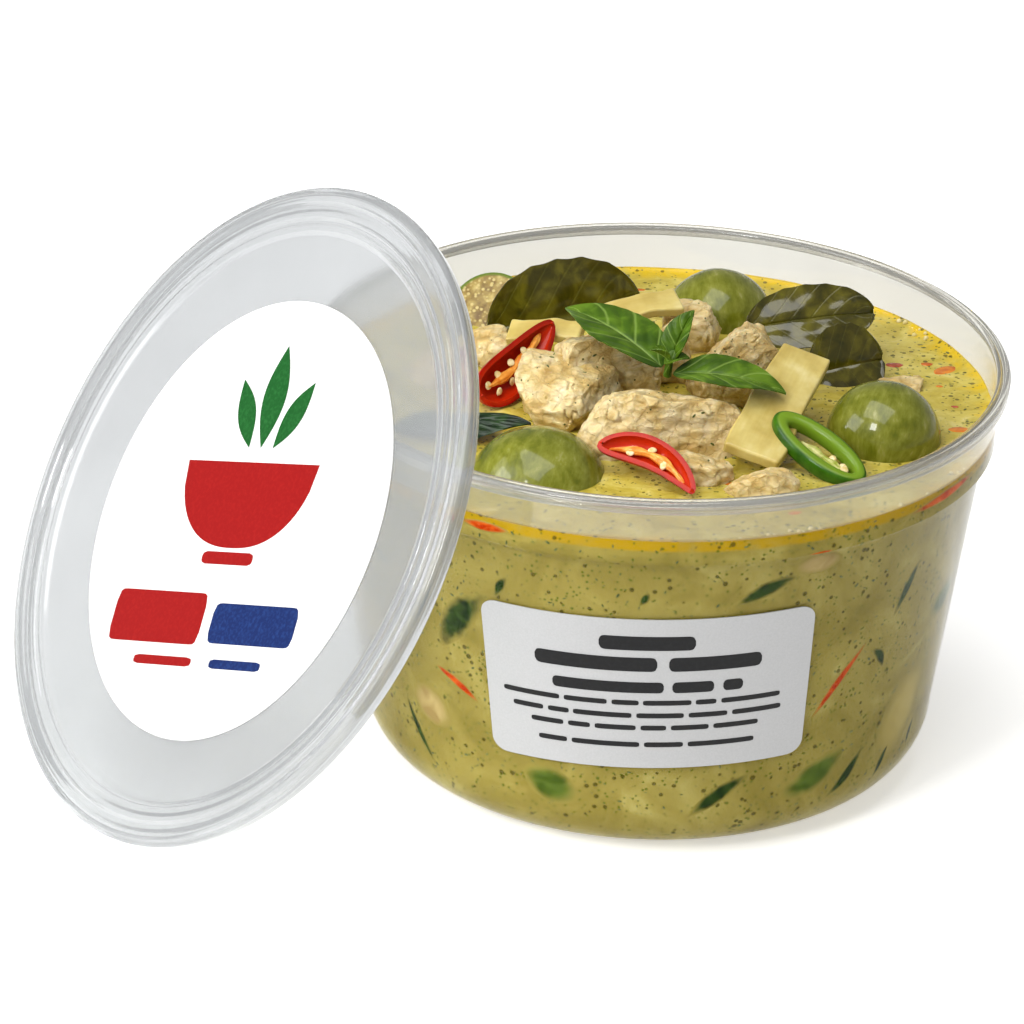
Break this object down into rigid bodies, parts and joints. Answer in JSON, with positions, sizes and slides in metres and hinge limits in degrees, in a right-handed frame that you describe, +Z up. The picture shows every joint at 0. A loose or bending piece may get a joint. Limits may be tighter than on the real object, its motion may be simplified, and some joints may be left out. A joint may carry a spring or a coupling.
{
  "type": "thai green curry",
  "caption": "Green coconut curry with chicken, round aubergines, bamboo, chillies and basil in a clear round tub, its lid leaning on the rim.",
  "frame": {"origin": "centre of the tub's flat base, on the surface it stands on", "axes": "+Z up along the tub's axis; the tub's label faces -Y; the lid leans against the rim on the -X side"},
  "size_m": [0.3351, 0.2728, 0.2],
  "materials": {
    "clear_plastic": "clear, slightly milky moulded polypropylene",
    "label_paper": "satin white label stock",
    "curry_sauce": "smooth wet sauce",
    "chicken": "moist cooked meat",
    "aubergine": "glossy cooked skin",
    "aubergine_flesh": "soft cut flesh with seeds",
    "lime_leaf": "dark glossy cooked leaf",
    "cooked_basil": "dark wet cooked leaf",
    "bamboo": "moist pale shoot",
    "red_chilli": "glossy red skin",
    "green_chilli": "glossy green skin",
    "basil": "fresh satin leaf"
  },
  "bodies": {
    "root": {"aubergine_back": "aubergine", "aubergine_front": "aubergine", "aubergine_half": "aubergine_flesh", "aubergine_right": "aubergine", "bamboo_back": "bamboo", "bamboo_front": "bamboo", "bamboo_left": "bamboo", "basil_sprig": "basil", "chicken_back": "chicken", "chicken_far_left": "chicken", "chicken_large": "chicken", "chicken_left": "chicken", "chicken_middle": "chicken", "chicken_near": "chicken", "chicken_peak": "chicken", "chicken_right": "chicken", "chicken_rim": "chicken", "chicken_side": "chicken", "chicken_top": "chicken", "cooked_basil": "cooked_basil", "curry": "curry_sauce", "green_chilli": "green_chilli", "lid": "clear_plastic", "lid_label": "label_paper", "lime_leaf_left": "lime_leaf", "lime_leaf_right": "lime_leaf", "lime_leaf_small": "lime_leaf", "red_chilli_back": "red_chilli", "red_chilli_front": "red_chilli", "tub": "clear_plastic", "tub_label": "label_paper"}
  },
  "joints": []
}
